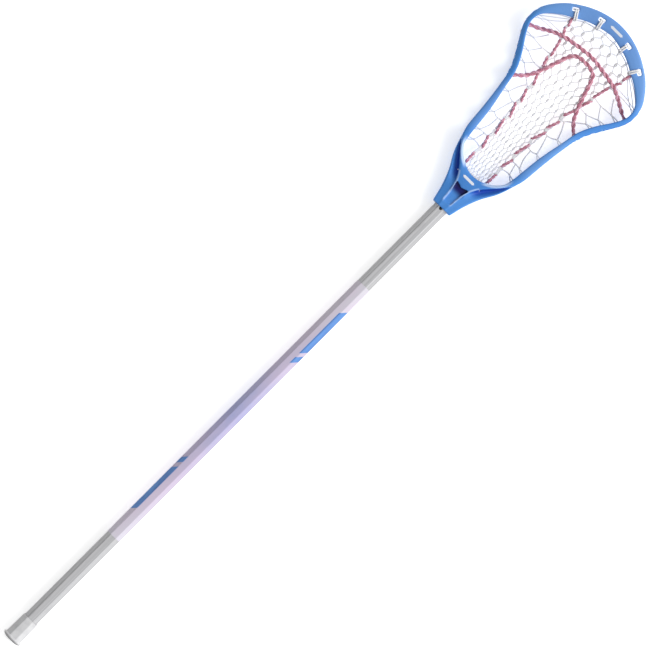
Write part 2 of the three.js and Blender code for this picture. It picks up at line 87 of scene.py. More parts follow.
def profile(points, y):
    """Height or width at y on a smooth profile."""
    last = len(points) - 1
    i = 0
    while i < last - 1 and y > points[i + 1][0]:
        i += 1
    (y0, a), (y1, b) = points[i], points[i + 1]
    f = min(max((y - y0) / (y1 - y0), 0), 1)

    def slope(j):
        before, after = points[max(j - 1, 0)], points[min(j + 1, last)]
        return (after[1] - before[1]) / (after[0] - before[0])

    span = y1 - y0
    return (
        (2 * f**3 - 3 * f**2 + 1) * a
        + (f**3 - 2 * f**2 + f) * span * slope(i)
        + (3 * f**2 - 2 * f**3) * b
        + (f**3 - f**2) * span * slope(i + 1)
    )


def spline(points, t):
    """A point at t, from 0 to 1, on a uniform Catmull-Rom curve through points."""
    last = len(points) - 1
    p = t * last
    i = min(int(p), last - 1)
    f = p - i
    p0, p1 = points[max(i - 1, 0)], points[i]
    p2, p3 = points[i + 1], points[min(i + 2, last)]
    out = []
    for a, b, c, d in zip(p0, p1, p2, p3):
        v0, v1 = (c - a) / 2, (d - b) / 2
        out.append((2 * b - 2 * c + v0 + v1) * f**3 + (3 * c - 3 * b - 2 * v0 - v1) * f**2 + v0 * f + b)
    return Vector(out)


# Matched points of the rim's inner and outer edges on the right, from the ball stop to the scoop's tip
INNER_EDGE = [
    (0, 55.9), (10, 57.5), (19, 61.6), (25.5, 65.5), (31, 70.5), (36, 77), (38.3, 84), (39.8, 93),
    (40.8, 103), (44.3, 133.4), (50.3, 163.8), (55.5, 189.2), (65.2, 209.6), (78.4, 229.9), (84.5, 241.5),
    (86.4, 250.2), (84.2, 260.4), (76.4, 270.5), (62.9, 280.7), (48.3, 289), (34.3, 296.5), (18, 301.5),
    (0, 304.5),
]
OUTER_EDGE = [
    (0, 35.5), (11.5, 41), (18.5, 50.5), (27, 60), (35.8, 69.5), (41.5, 77), (46.5, 84.5), (49.5, 93),
    (51.2, 103), (54, 133.4), (58.3, 163.8), (64.2, 187), (73, 205.5), (84.8, 226), (91.5, 239),
    (93.8, 250.5), (92.4, 263), (86.5, 276), (72.4, 293), (56, 305.3), (38, 314.7), (19, 320.6),
    (0, HEAD_LENGTH),
]
SPANS = len(INNER_EDGE) - 1
STOP_END, WALL_START, WALL_END, SCOOP_START = 3, 6, 16, 18

RIM_TOP = [(0, 27.4), (30, 31.5), (56, 33.5), (100, 34.5), (180, 35.5), (240, 37.5), (290, 41.5), (305, 43.5),
           (323, 46.2)]
RAIL_BOTTOM = [(0, 0.6), (56, 0.8), (80, 0), (200, 0), (230, 3), (250, 9), (270, 18), (290, 27), (305, 33),
               (323, 40)]
RIM_THICKNESS, WALL_THICKNESS, RAIL_WIDTH, RAIL_HEIGHT = 4.5, 3.2, 6, 5
RIM_CROWN = [(0, 1.7), (0.06, 0.9), (0.18, 0.32), (0.5, 0), (0.8, 0.42), (0.93, 1.15), (1, 2.1)]
RIM_LEAN = [(0, 0), (120, 0), (160, 1.2), (192, 4.2), (235, 4.6), (262, 2.4), (285, 0.5), (323, 0)]
RAMP = [2.4, 2.2, 1.2, 0, 0, 0, 0]  # extra fall of the crown where the ball runs on to the ball stop

FLANK_WIDTH = [(0, 14.6), (22, 20.2), (42, 27.9), (62, 39.0), (82, 46.2), (93, 49.2)]
FLANK_TOP = [(0, 27.2), (20, 28), (42, 28.8), (70, 29.5), (93, 33)]
FLANK_BOTTOM = [(0, 0.6), (56, 0.8), (66, 2), (82, 15), (93, 19)]
FLANK_SLOPE, FLANK_END = 3.5, 93
RIDGE_LINE = [
    (0, 5.2), (9, 6.3), (23, 7.6), (35.6, 10.2), (41.9, 12.7), (48.3, 16.5), (54.6, 21.6), (61, 27.3),
    (67.3, 33), (72, 36.8), (77.5, 40.6), (93, 45),
]
RIDGE_TOP = [(0, 27.3), (9, 28.3), (23, 29.8), (36, 31.8), (42, 32.3), (56, 33), (93, 33.4)]
GROOVE_DEPTH = [(0, 0), (26, 0), (34, 1.6), (42, 5.5), (50, 8), (62, 8), (72, 6), (82, 2.5), (93, 1)]
GROOVE = [(0.07, 0.35), (0.16, 0.85), (0.3, 1), (0.45, 0.9), (0.6, 0.65), (0.76, 0.35), (0.9, 0.08)]
CHANNEL = [(-5.7, 9.5), (5.7, 9.5), (7.2, 28), (10.5, 39), (0, 35.3), (-10.5, 39), (-7.2, 28)]
CHANNEL_FLOOR = 26
WINDOWS = [(96, 120), (127, 151), (157, 176), (192, 210), (216, 234)]
SIDE_TIES = [87.6, 102.9, 130.8, 163.8, 204.5, 217.2, 232.4]
TIE_SPREAD, TIE_HEIGHT, TIE_HOLE = 1.9, 8.5, 1.3
LOWER_LACE_HOLE, UPPER_LACE_HOLE, TOP_CORD_HOLE = (184, 17), (242.6, 20), (258, 23)
SCOOP_HOLES = [((56.5, 297.2), -0.56), ((23.5, 310.5), -0.18)]
SCOOP_HOLE_SIZE = (8.9, 5.7)
TIE_STRAND, BRANCH_STRAND, EDGE_STRAND = 0.78, 0.84, 0.6
MELT = 0.93  # the grain that rounds the head's edges and joins

POCKET_HEIGHT = [(56, 14), (75, 10), (110, 7), (180, 6), (220, 8), (250, 14), (275, 26), (300, 39)]
POCKET_WIDTH = [
    (58, 18.5), (106, 21.6), (131, 24.1), (156, 26.7), (182, 29.2), (207, 32.5), (232, 38), (258, 42.5),
    (283, 49.5), (300, 53),
]
POCKET_DISH = 2.5


def rim_top(y):
    return profile(RIM_TOP, y)


def rail_bottom(y):
    return max(profile(RAIL_BOTTOM, y), 0)


def edges_at(k):
    """The rim's inner and outer edges, which cross the head's middle squarely, but for the pointed plate."""
    out = []
    for edge, pointed in ((INNER_EDGE, False), (OUTER_EDGE, True)):
        first = edge[0] if pointed else (-edge[1][0], edge[1][1])
        mirrored = [first, *edge, (-edge[-2][0], edge[-2][1])]
        out.append(spline(mirrored, (k + 1) / (SPANS + 2)))
    return out


def wall_share(k, width):
    """Where the wall under the rim stands across it, from 0 at the inner edge to 1 at the outer."""
    to_side = smoothstep(k, STOP_END, WALL_START)
    to_scoop = smoothstep(k, WALL_END, SCOOP_START)
    return lerp(lerp(2.4 / width, 0.5, to_side), 1 - 3.2 / width, to_scoop)


def wall_at(y, side):
    """A function of a distance outward from the side wall's middle, and a height, at y along the head."""
    low, high = WALL_START, WALL_END
    for _ in range(30):
        k = (low + high) / 2
        inner, outer = edges_at(k)
        if (inner.y + outer.y) / 2 < y:
            low = k
        else:
            high = k
    inner, outer = edges_at(low)
    outward = (outer - inner).normalized()
    middle = inner.lerp(outer, wall_share(low, (outer - inner).length))

    def at(across, z):
        return Vector((side * (middle.x + outward.x * across), middle.y + outward.y * across, z))

    return at


def pocket_width(y):
    return profile(POCKET_WIDTH, y)


def pocket_height(x, y):
    return profile(POCKET_HEIGHT, y) + POCKET_DISH * min(abs(x) / pocket_width(y), 1) ** 2


def on_pocket(x, y, lift=0):
    return Vector((x, y, pocket_height(x, y) + lift))


# Meshes


def frames(path):
    """Each point of path, two directions across it that turn with it, and how far along it the point is."""
    last = len(path) - 1
    tangents = [(path[min(i + 1, last)] - path[max(i - 1, 0)]).normalized() for i in range(last + 1)]
    normal = tangents[0].orthogonal().normalized()
    along = 0.0
    for i, p in enumerate(path):
        if i:
            normal = (tangents[i - 1].rotation_difference(tangents[i]) @ normal).normalized()
            along += (p - path[i - 1]).length
        yield p, normal, tangents[i].cross(normal), along


def polar(radius, share):
    """The two legs of a radius turned by a share of a full turn."""
    angle = 2 * math.pi * share
    return radius * math.cos(angle), radius * math.sin(angle)


class Mesh:
    """Vertices in millimetres from the collar's mouth, with faces, a material number and UVs for each."""

    def __init__(self):
        self.points, self.faces, self.slots, self.uvs = [], [], [], []

    def face(self, corners, uvs=None, slot=0):
        self.faces.append(corners)
        self.slots.append(slot)
        self.uvs.append(uvs or [(0, 0)] * len(corners))

    def loft(self, rings, joined=False, slot=0):
        base, n = len(self.points), len(rings[0])
        self.points += [Vector(p) for ring in rings for p in ring]
        spans = len(rings) if joined else len(rings) - 1
        for i in range(spans):
            here, after = base + i * n, base + (i + 1) % len(rings) * n
            for j in range(n):
                k = (j + 1) % n
                self.face([here + j, here + k, after + k, after + j], slot=slot)
        if not joined:
            self.face([base + j for j in reversed(range(n))], slot=slot)
            self.face([base + (len(rings) - 1) * n + j for j in range(n)], slot=slot)

    def tube(self, path, radius, sides=8, slot=0):
        """A closed tube along the points of path. Its UVs are millimetres along and turns around."""
        base, n = len(self.points), len(path)
        lengths = []
        for p, normal, side, along in frames(path):
            lengths.append(along)
            for j in range(sides):
                a, b = polar(1, j / sides)
                self.points.append(p + (normal * a + side * b) * radius)
        for i in range(n - 1):
            for j in range(sides):
                k = (j + 1) % sides
                low, high = base + i * sides, base + (i + 1) * sides
                uv = [(lengths[i], j / sides), (lengths[i], (j + 1) / sides),
                      (lengths[i + 1], (j + 1) / sides), (lengths[i + 1], j / sides)]
                self.face([low + j, low + k, high + k, high + j], uv, slot)
        self.face([base + j for j in reversed(range(sides))], slot=slot)
        self.face([base + (n - 1) * sides + j for j in range(sides)], slot=slot)

    def blob(self, centre, radii, axis=(0, 1, 0), slot=0, rings=5, sides=8):
        """A closed ellipsoid, longest along axis."""
        turn = Vector((0, 1, 0)).rotation_difference(Vector(axis).normalized())
        base = len(self.points)
        for i in range(1, rings + 1):
            a = math.pi * i / (rings + 1)
            for j in range(sides):
                x, z = polar(math.sin(a), j / sides)
                p = Vector((radii[0] * x, -radii[1] * math.cos(a), radii[2] * z))
                self.points.append(Vector(centre) + turn @ p)
        poles = [Vector(centre) + turn @ Vector((0, s * radii[1], 0)) for s in (-1, 1)]
        self.points += poles
        low, high = base + rings * sides, base + rings * sides + 1
        for j in range(sides):
            k = (j + 1) % sides
            self.face([low, base + j, base + k], slot=slot)
            self.face([high, base + (rings - 1) * sides + k, base + (rings - 1) * sides + j], slot=slot)
            for i in range(rings - 1):
                r = base + i * sides
                self.face([r + j, r + sides + j, r + sides + k, r + k], slot=slot)

    def build(self, name, materials=(), smooth=True):
        mesh = bpy.data.meshes.new(name)
        mesh.from_pydata([place(p) for p in self.points], [], self.faces)
        for material in materials:
            mesh.materials.append(material)
        layer = mesh.uv_layers.new(name="strand")
        for polygon, slot, uvs in zip(mesh.polygons, self.slots, self.uvs):
            polygon.material_index = slot
            polygon.use_smooth = smooth
            for loop, uv in zip(polygon.loop_indices, uvs):
                layer.data[loop].uv = uv
        work = bmesh.new()
        work.from_mesh(mesh)
        bmesh.ops.recalc_face_normals(work, faces=work.faces)
        work.to_mesh(mesh)
        work.free()
        thing = bpy.data.objects.new(name, mesh)
        bpy.context.scene.collection.objects.link(thing)
        return thing


def smooth_path(points, steps=6):
    """More points along a Catmull-Rom curve through points."""
    points = [Vector(p) for p in points]
    count = (len(points) - 1) * steps
    return [spline(points, i / count) for i in range(count + 1)]


def even_path(points, spacing):
    """A smooth path through points, cut into equal steps of about spacing."""
    fine = smooth_path(points, 16)
    lengths = [0.0]
    for a, b in zip(fine, fine[1:]):
        lengths.append(lengths[-1] + (b - a).length)
    count = max(int(lengths[-1] / spacing), 2)
    out, j = [], 0
    for i in range(count + 1):
        target = lengths[-1] * i / count
        while j < len(fine) - 2 and lengths[j + 1] < target:
            j += 1
        f = (target - lengths[j]) / max(lengths[j + 1] - lengths[j], 1e-9)
        out.append(fine[j].lerp(fine[j + 1], min(max(f, 0), 1)))
    return out


def twisted(path, offset, pitch, strands=2):
    """Paths of strands that twist round path, each at offset from it, once in every pitch."""
    out = [[] for _ in range(strands)]
    for p, normal, side, along in frames(path):
        for s in range(strands):
            a, b = polar(1, along / pitch + s / strands)
            out[s].append(p + (normal * a + side * b) * offset)
    return out


def plan_prism(points, bottom, top):
    mesh = Mesh()
    mesh.loft([[(x, y, z) for x, y in points] for z in (bottom, top)])
    return mesh.build("cutter")


def side_prism(points, reach):
    mesh = Mesh()
    mesh.loft([[(x, y, z) for y, z in points] for x in (-reach, reach)])
    return mesh.build("cutter")


def rod(start, end, radius, sides=16):
    mesh = Mesh()
    mesh.tube([Vector(start), Vector(end)], radius, sides)
    return mesh.build("cutter")


def spun(name, outline, sides, at, materials=()):
    """A solid of revolution. outline has radii and distances, and at places two legs and a distance."""
    mesh = Mesh()
    mesh.loft([[at(*polar(radius, j / sides), along) for j in range(sides)] for radius, along in outline])
    return mesh.build(name, materials)


def octagon(flats, corner=1.0, per_corner=4):
    """An octagon across its flats with a flat on top and rounded corners, as points across and up."""
    out = []
    reach = (flats / 2 - corner) / math.cos(math.pi / 8)
    for j in range(8):
        middle = math.pi / 8 + j * math.pi / 4
        for i in range(per_corner + 1):
            a = middle - math.pi / 8 + i * math.pi / 4 / per_corner
            out.append((reach * math.cos(middle) + corner * math.cos(a),
                        AXIS_HEIGHT + reach * math.sin(middle) + corner * math.sin(a)))
    return out


def octagon_bar(stations, corner=1.0, name="cutter", materials=()):
    mesh = Mesh()
    mesh.loft([[(x, y, z) for x, z in octagon(flats, min(corner, flats / 3))] for y, flats in stations])
    return mesh.build(name, materials)


def carve(thing, tools, operation="DIFFERENCE"):
    """Joins or cuts thing by each of tools, which are then removed."""
    for i, tool in enumerate(tools):
        change = thing.modifiers.new(f"step{i}", "BOOLEAN")
        change.object, change.operation, change.solver = tool, operation, "MANIFOLD"
    apply(thing)
    for tool in tools:
        bpy.data.objects.remove(tool, do_unlink=True)


def apply(thing):
    """Makes what the modifiers do part of the mesh."""
    bpy.context.view_layer.update()
    done = bpy.data.meshes.new_from_object(thing.evaluated_get(bpy.context.evaluated_depsgraph_get()))
    thing.modifiers.clear()
    thing.data = done


# Materials

LIGHT_LEVEL = 0.97  # what a white card lying on the floor sends to the camera


def paint(red, green, blue):
    """The surface colour that is seen as this one in the studio's light."""
    linear = [((c / 255 + 0.055) / 1.055) ** 2.4 if c > 10 else c / 3294 for c in (red, green, blue)]
    return (*[min(c / LIGHT_LEVEL, 0.92) for c in linear], 1)


class Nodes:
    """Adds nodes to a tree."""

    def __init__(self, tree):
        self.tree = tree

    def node(self, kind, inputs=(), **settings):
        made = self.tree.nodes.new("ShaderNode" + kind)
        for key, value in settings.items():
            setattr(made, key, value)
        for key, value in dict(inputs).items():
            if isinstance(value, bpy.types.NodeSocket):
                self.tree.links.new(value, made.inputs[key])
            else:
                made.inputs[key].default_value = value
        return made


class Look(Nodes):
    """A material and short names for its nodes."""

    def __init__(self, name):
        self.material = bpy.data.materials.new(name)
        self.material.use_nodes = True
        super().__init__(self.material.node_tree)
        self.shader = self.tree.nodes["Principled BSDF"]

    def place(self):
        return self.node("TexCoord").outputs["Object"]

    def stretched(self, scale):
        return self.node("Mapping", {"Vector": self.place(), "Scale": scale}).outputs["Vector"]

    def noise(self, scale, detail=3.0, vector=None, roughness=0.55):
        made = self.node("TexNoise", {"Scale": scale, "Detail": detail, "Roughness": roughness,
                                                "Vector": vector or self.place()})
        return made.outputs["Fac"]

    def range(self, value, low, high, to_low=0.0, to_high=1.0):
        return self.node("MapRange", {"Value": value, "From Min": low, "From Max": high,
                                                "To Min": to_low, "To Max": to_high}).outputs["Result"]

    def math(self, operation, a, b=0.0):
        return self.node("Math", {0: a, 1: b}, operation=operation).outputs[0]

    def mix(self, share, a, b):
        made = self.node("Mix", {0: share, 6: a, 7: b}, data_type="RGBA")
        return made.outputs[2]

    def attribute(self, name):
        return self.node("Attribute", attribute_name=name).outputs["Fac"]

    def bump(self, height, distance, strength=1.0, under=None):
        inputs = {"Height": height, "Distance": distance, "Strength": strength}
        if under:
            inputs["Normal"] = under
        return self.node("Bump", inputs).outputs["Normal"]

    def finish(self, color, roughness, normal=None, **sockets):
        for name, value in {"Base Color": color, "Roughness": roughness, "Normal": normal}.items():
            if value is not None:
                self.tree.links.new(value, self.shader.inputs[name])
        for name, value in sockets.items():
            self.shader.inputs[name.replace("_", " ")].default_value = value
        return self.material


def nylon_look():
    """Sky-blue moulded nylon, with painted shade in the throat's hollow and in the groove beside the rim, and
    painted highlights on the rim's lit edges and tops.
    """
    look = Look("head_nylon")
    drift = look.range(look.noise(14, 2), 0.3, 0.7)
    color = look.mix(drift, paint(62, 126, 203), paint(76, 140, 213))
    speck = look.range(look.noise(900, 2), 0.35, 0.75, 0, 0.16)
    color = look.mix(speck, color, paint(104, 166, 232))
    # painted highlight on the rim's lit edges and tops
    color = look.mix(look.attribute("painted_highlight"), color, paint(184, 208, 242))
    # painted shade in the groove beside the rim
    color = look.mix(look.attribute("groove"), color, paint(4, 44, 166))
    # painted shade in the throat's hollow under the ball-stop plate
    color = look.mix(look.attribute("recess"), color, paint(1, 10, 96))
    roughness = look.range(look.noise(60, 3), 0.3, 0.7, 0.36, 0.52)
    normal = look.bump(look.noise(420, 4), 0.00012, 0.5)
    normal = look.bump(look.noise(35, 2), 0.0006, 0.25, normal)
    return look.finish(color, roughness, normal, IOR=1.5, Specular_IOR_Level=0.25)


def aluminium_look():
    """Bare anodised extrusion: long die lines, faint scuffs and small dings."""
    look = Look("handle_aluminium")
    lines = look.noise(1, 3, look.stretched((900, 2.5, 900)))
    color = look.mix(look.range(lines, 0.3, 0.7), paint(170, 170, 172), paint(200, 200, 202))
    scuffs = look.range(look.noise(1, 4, look.stretched((160, 34, 160))), 0.58, 0.72)
    color = look.mix(look.math("MULTIPLY", scuffs, 0.35), color, paint(150, 150, 154))
    roughness = look.range(lines, 0.3, 0.7, 0.36, 0.5)
    normal = look.bump(lines, 0.00006, 0.6)
    return look.finish(color, roughness, normal, Metallic=0.55)


PRINT_COLOURS = [  # distance from the collar's mouth, and the printed film's colour there
    (-589, (206, 203, 212)), (-540, (200, 193, 208)), (-480, (192, 180, 202)), (-420, (177, 172, 202)),
    (-372, (154, 160, 203)), (-335, (162, 165, 202)), (-290, (186, 178, 203)), (-240, (194, 184, 202)),
    (-190, (201, 194, 206)), (-140, (203, 202, 208)),
]


def print_look():
    """Satin printed film, fading from pale grey through lilac to periwinkle and back, with a fine weave."""
    look = Look("handle_print")
    height = look.node("SeparateXYZ", {"Vector": look.place()}).outputs["Y"]
    start, end = PRINT_COLOURS[0][0], PRINT_COLOURS[-1][0]
    ramp = look.node("ValToRGB",
                     {"Fac": look.range(height, (start + HEAD_Y) * MM, (end + HEAD_Y) * MM)})
    marks = ramp.color_ramp.elements
    marks[0].color, marks[1].color = paint(*PRINT_COLOURS[0][1]), paint(*PRINT_COLOURS[-1][1])
    for y, rgb in PRINT_COLOURS[1:-1]:
        marks.new((y - start) / (end - start)).color = paint(*rgb)
    clouds = look.range(look.noise(1, 3, look.stretched((60, 22, 60))), 0.35, 0.7, 0, 0.4)
    color = look.mix(clouds, ramp.outputs["Color"], paint(206, 186, 208))
    weave = look.node("TexWave", {"Vector": look.place(), "Scale": 260.0, "Distortion": 1.5,
                                            "Detail": 1.0}, bands_direction="Y").outputs["Fac"]
    color = look.mix(look.math("MULTIPLY", weave, 0.12), color, paint(140, 136, 176))
    roughness = look.range(look.noise(50, 3), 0.3, 0.7, 0.36, 0.5)
    return look.finish(color, roughness, look.bump(weave, 0.00003, 0.5), IOR=1.45)


def bar_look():
    """Blue printed bars on the film."""
    look = Look("handle_print_blue")
    patches = look.range(look.noise(1, 3, look.stretched((90, 30, 90))), 0.35, 0.68)
    color = look.mix(patches, paint(76, 120, 186), paint(90, 142, 208))
    roughness = look.range(look.noise(60, 2), 0.3, 0.7, 0.34, 0.46)
    return look.finish(color, roughness, look.bump(look.noise(300, 2), 0.00003, 0.4))


def rubber_look():
    """Pale rubber with a fine moulded grain, and painted shade on its rounded foot."""
    look = Look("cap_rubber")
    along = look.node("SeparateXYZ", {"Vector": look.place()}).outputs["Y"]
    # painted shade on the rounded end of the cap's foot
    foot = look.range(along, (BUTT + HEAD_Y + 3.6) * MM, (BUTT + HEAD_Y + 1.4) * MM)
    grain = look.range(look.noise(120, 3), 0.3, 0.7)
    color = look.mix(grain, paint(192, 192, 194), paint(207, 207, 208))
    color = look.mix(look.math("MULTIPLY", foot, 0.8), color, paint(96, 96, 98))
    roughness = look.range(look.noise(200, 2), 0.3, 0.7, 0.55, 0.72)
    return look.finish(color, roughness, look.bump(look.noise(900, 3), 0.0001, 0.5))


def steel_look():
    look = Look("screw_steel")
    grain = look.noise(2600, 2)
    color = look.mix(look.range(grain, 0.3, 0.7), paint(120, 122, 128), paint(168, 170, 176))
    roughness = look.range(grain, 0.3, 0.7, 0.28, 0.42)
    return look.finish(color, roughness, look.bump(grain, 0.00003), Metallic=0.9)


def strand_look(name, pale, dark, pitch, depth, hairs=0.35):
    """Braided or twisted nylon cord: slanted ridges along each strand, with painted shade in the crevices
    between them and random darker fuzz.
    """
    look = Look(name)
    uv = look.node("UVMap", uv_map="strand").outputs["UV"]
    parts = look.node("SeparateXYZ", {"Vector": uv})
    turns = look.math("ADD", look.math("MULTIPLY", parts.outputs["X"], 1 / pitch),
                      look.math("MULTIPLY", parts.outputs["Y"], 2.0))
    ridge = look.math("SINE", look.math("MULTIPLY", turns, 2 * math.pi))
    fuzz = look.noise(2600, 3)
    # painted shade: the crevices between the ridges take the darker colour
    ridge_light = look.range(ridge, -1, 0.7)
    ridge_light = look.math("MULTIPLY", ridge_light, look.range(look.noise(70, 3), 0.25, 0.6, 0.7, 1.0))
    color = look.mix(ridge_light, dark, pale)
    color = look.mix(look.range(fuzz, 0.45, 0.8, 0, hairs), color, dark)
    normal = look.bump(ridge, depth, 0.8)
    normal = look.bump(fuzz, depth * 0.5, 0.5, normal)
    return look.finish(color, look.range(fuzz, 0.3, 0.7, 0.6, 0.85), normal, Sheen_Weight=0.15)


NYLON, ALUMINIUM, PRINT, BARS = nylon_look(), aluminium_look(), print_look(), bar_look()
RUBBER, STEEL = rubber_look(), steel_look()
NET = strand_look("mesh_white", paint(240, 240, 241), paint(224, 224, 226), 1.7, 0.0001, 0.2)
CORD = strand_look("cord_white", paint(248, 247, 246), paint(230, 229, 230), 2.2, 0.00012, 0.2)
LACE = strand_look("lace_pink", paint(240, 184, 198), paint(198, 128, 148), 1.9, 0.0002, 0.4)
# a darker copy of the lace material for one strand of each twist: painted shade
LACE_SHADED = strand_look("lace_pink_shaded", paint(218, 148, 166), paint(166, 90, 112), 1.9, 0.0002, 0.4)
MARK = strand_look("mark_white", paint(236, 238, 242), paint(214, 220, 232), 40, 0.00002)


def piece(thing, body, slot, *nodes):
    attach(thing, body)
    if nodes:
        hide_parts(*nodes)
    return thing


def crisp(thing, angle=40):
    """Shades smoothly, but for edges sharper than angle in degrees."""
    for polygon in thing.data.polygons:
        polygon.use_smooth = True
    thing.data.set_sharp_from_angle(angle=math.radians(angle))
    return thing


def flat_sided(thing):
    """Keeps broad flats flat under smooth shading."""
    crisp(thing).modifiers.new("flats", "WEIGHTED_NORMAL").weight = 90
    return thing


# Head


def rim_section(k, side):
    inner, outer = edges_at(k)
    width = (outer - inner).length
    share = wall_share(k, width)
    wall = WALL_THICKNESS / 2 / width
    rail = min(RAIL_WIDTH / 2 / width, share, 1 - share)
    base = rail_bottom((inner.y + outer.y) / 2)
    ramp = smoothstep(inner.x, 12, 22) * (1 - smoothstep(inner.y, 74, 90))

    def at(f, height):
        p = inner.lerp(outer, f)
        return (side * p.x, p.y, height(rim_top(p.y)))

    def under(top):
        return top - RIM_THICKNESS

    def rail_top(top):
        return base + min(RAIL_HEIGHT, top - RIM_THICKNESS - base - 0.6)

    lean = profile(RIM_LEAN, (inner.y + outer.y) / 2)
    crown = [at(f, lambda top: top - drop - extra * ramp - lean * f ** 1.4)
             for (f, drop), extra in zip(RIM_CROWN, RAMP)]
    return crown + [
        at(1, under), at(share + wall, under), at(share + wall, rail_top), at(share + rail, rail_top),
        at(share + rail, lambda top: base), at(share - rail, lambda top: base), at(share - rail, rail_top),
        at(share - wall, rail_top), at(share - wall, under), at(0, under),
    ]


def rim_ring():
    stations = 8 * SPANS
    mesh = Mesh()
    mesh.loft([rim_section(i * SPANS / stations, 1) for i in range(stations + 1)]
              + [rim_section(SPANS - i * SPANS / stations, -1) for i in range(1, stations)], True)
    return mesh.build("rim")


def throat_outline(y):
    half = profile(FLANK_WIDTH, y)
    top, bottom = profile(FLANK_TOP, y), profile(FLANK_BOTTOM, y)
    ridge = min(profile(RIDGE_LINE, y), half - 4)
    high = profile(RIDGE_TOP, y)
    depth = profile(GROOVE_DEPTH, y)
    edge = top - FLANK_SLOPE * 0.5
    right = [(0.01, high - 0.5), (ridge - 1.8, high - 0.4), (ridge - 0.8, high), (ridge + 0.3, high - 0.3)]
    for f, share in GROOVE:
        right.append((lerp(ridge, half, f), lerp(high - 0.6, edge, f ** 0.7) - depth * share))
    right += [(half - 0.5, edge - 1), (half, edge - 3), (half, bottom + 7), (half - 1, bottom + 3.5),
              (half * 0.62, bottom), (0.01, bottom)]
    return [(x, y, z) for x, z in right] + [(-x, y, z) for x, z in reversed(right)]


def throat_block():
    steps = 60
    mesh = Mesh()
    mesh.loft([throat_outline(FLANK_END * i / steps) for i in range(steps + 1)])
    return mesh.build("head_shell")


def pocket_opening():
    samples = 120
    right = []
    for i in range(samples + 1):
        inner, outer = edges_at(i * SPANS / samples)
        p = inner.lerp(outer, 0.1)
        right.append((p.x, p.y))
    return plan_prism(right + [(-x, y) for x, y in reversed(right[1:-1])], -5, 60)


def window_cut(start, end):
    corner = 3

    def low(y):
        return rail_bottom(y) + 13.5

    def high(y):
        return rim_top(y) - RIM_THICKNESS - 3

    return side_prism([(start + corner, low(start)), (end - corner, low(end)), (end, low(end) + corner),
                       (end, high(end) - corner), (end - corner, high(end)), (start + corner, high(start)),
                       (start, high(start) - corner), (start, low(start) + corner)], 110)


def back_recess(side):
    wall = 4
    points = [(14.2, 28), (profile(FLANK_WIDTH, 28) - wall + 1, 28), (profile(FLANK_WIDTH, 38) - wall, 38),
              (profile(FLANK_WIDTH, 50) - wall, 50), (14.2, 50)]
    return plan_prism([(side * x, y) for x, y in points], -2, 19)


def box_cut(x, start, end, bottom, top):
    return plan_prism([(-x, start), (x, start), (x, end), (-x, end)], bottom, top)


def turned_box(centre, turn, size, bottom, top):
    out = []
    for a, b in ((-1, -1), (1, -1), (1, 1), (-1, 1)):
        x, y = a * size[0] / 2, b * size[1] / 2
        out.append((centre[0] + x * math.cos(turn) - y * math.sin(turn),
                    centre[1] + x * math.sin(turn) + y * math.cos(turn)))
    return plan_prism(out, bottom, top)


def wall_hole(hole, side, radius):
    at = wall_at(hole[0], side)
    return rod(at(-6, hole[1]), at(6, hole[1]), radius)


def head_shell():
    head = throat_block()
    carve(head, [pocket_opening()])
    carve(head, [rim_ring()], "UNION")
    cuts = [octagon_bar([(-5, 20.9), (47.3, 20.9)]), plan_prism(CHANNEL, CHANNEL_FLOOR, 60),
            box_cut(10, 34, 49, CHANNEL_FLOOR, 28.2), box_cut(20, 48.4, 51.6, -2, 25),
            rod((0, SCREW_AT, -2), (0, SCREW_AT, 6), SCREW_HOLE),
            rod((0, SCREW_AT, -2), (0, SCREW_AT, 2.1), 3.85, 24)]
    cuts += [window_cut(*window) for window in WINDOWS]
    for side in (-1, 1):
        cuts.append(back_recess(side))
        for y in SIDE_TIES:
            for shift in (-TIE_SPREAD, TIE_SPREAD):
                cuts.append(wall_hole((y + shift, rail_bottom(y) + TIE_HEIGHT), side, TIE_HOLE))
        for hole, radius in ((LOWER_LACE_HOLE, 2.9), (UPPER_LACE_HOLE, 2.9), (TOP_CORD_HOLE, 2.2)):
            cuts.append(wall_hole(hole, side, radius))
        for (x, y), turn in SCOOP_HOLES:
            cuts.append(turned_box((side * x, y), side * turn, SCOOP_HOLE_SIZE, 25, 55))
        cuts.append(rod((side * 9, 50, 14), (side * 9, 62, 14), 2.2))
    carve(head, cuts)
    remesh = head.modifiers.new("melt", "REMESH")
    remesh.mode, remesh.voxel_size, remesh.use_smooth_shade = "VOXEL", MELT * MM, True
    soften = head.modifiers.new("soften", "SMOOTH")
    soften.factor, soften.iterations = 0.5, 4
    apply(head)
    shade_head(head.data)
    head.data.materials.clear()
    head.data.materials.append(NYLON)
    for polygon in head.data.polygons:
        polygon.use_smooth = True
    return piece(head, "stick", "head_nylon", "head_frame")


